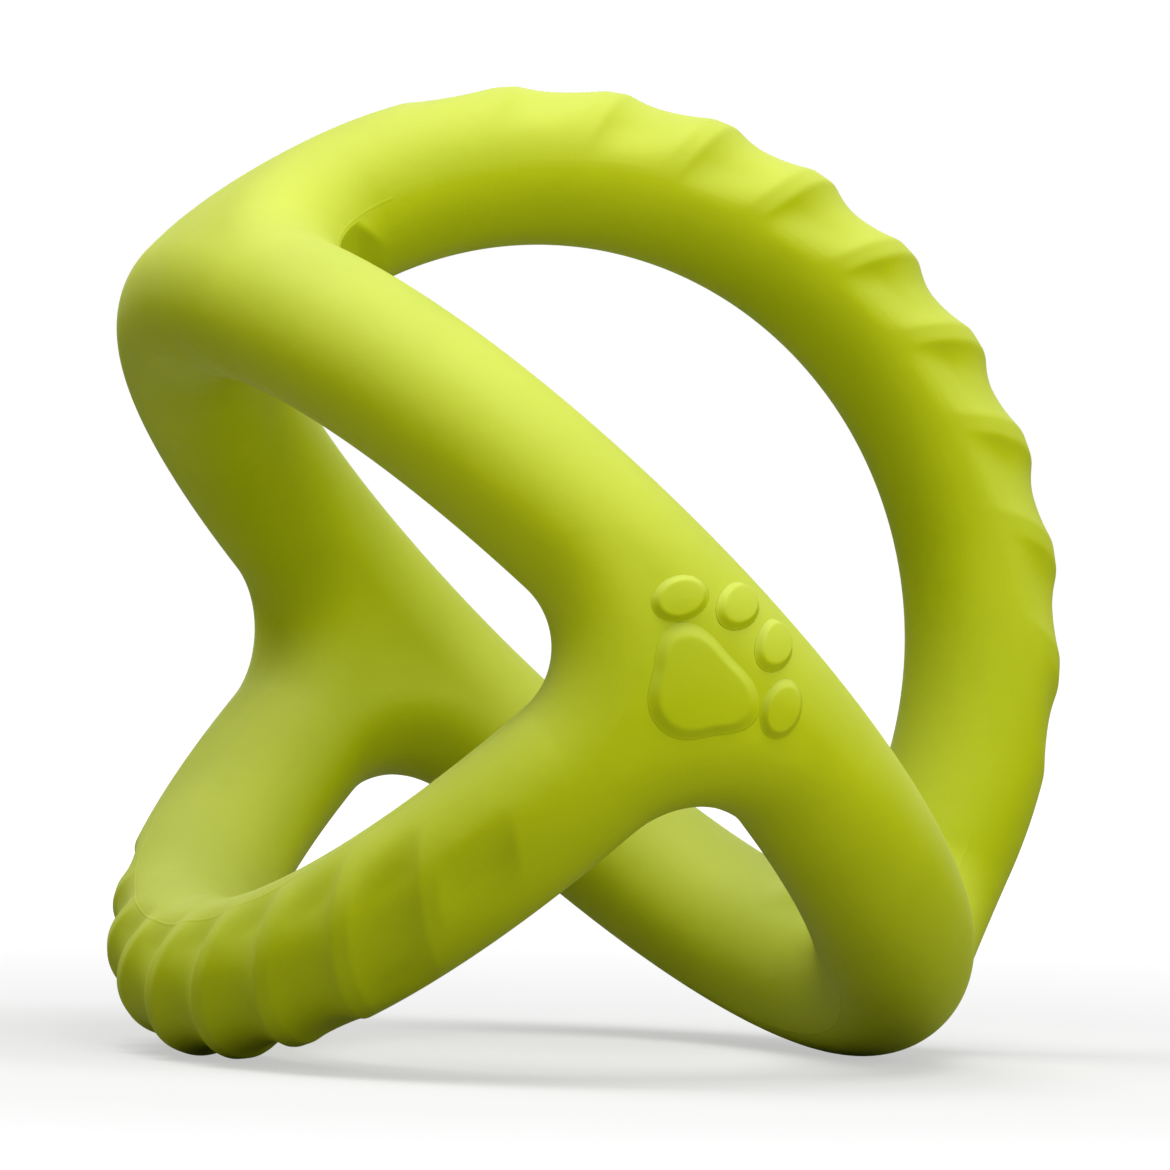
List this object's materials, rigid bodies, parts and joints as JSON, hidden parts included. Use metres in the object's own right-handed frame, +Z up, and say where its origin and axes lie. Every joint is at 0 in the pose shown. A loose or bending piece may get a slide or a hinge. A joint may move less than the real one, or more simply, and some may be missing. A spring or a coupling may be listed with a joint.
{
  "type": "chew toy",
  "caption": "Open ball chew toy moulded in rubber: a ring of round bars, with ribbed half-ring grips springing from it on opposite sides and a raised paw print on the front hub.",
  "frame": {"origin": "On the floor under the middle of the toy's box, with the toy in its own resting pose.", "axes": "+Z up as the toy rests on a floor. +Y runs from the front hub with the paw print to the back hub, along the line through those two hubs. +X runs to the right as seen from the front, towards the right hub and the upper grip."},
  "size_m": [0.1282, 0.1478, 0.1282],
  "materials": {
    "rubber": "satin moulded rubber, yellow-green"
  },
  "bodies": {
    "root": {"upper_grip": "rubber", "lower_grip": "rubber", "left_hub": "rubber", "right_hub": "rubber", "front_hub": "rubber", "back_hub": "rubber", "front_left_bar": "rubber", "front_right_bar": "rubber", "back_right_bar": "rubber", "back_left_bar": "rubber", "paw_print": "rubber"}
  },
  "joints": []
}
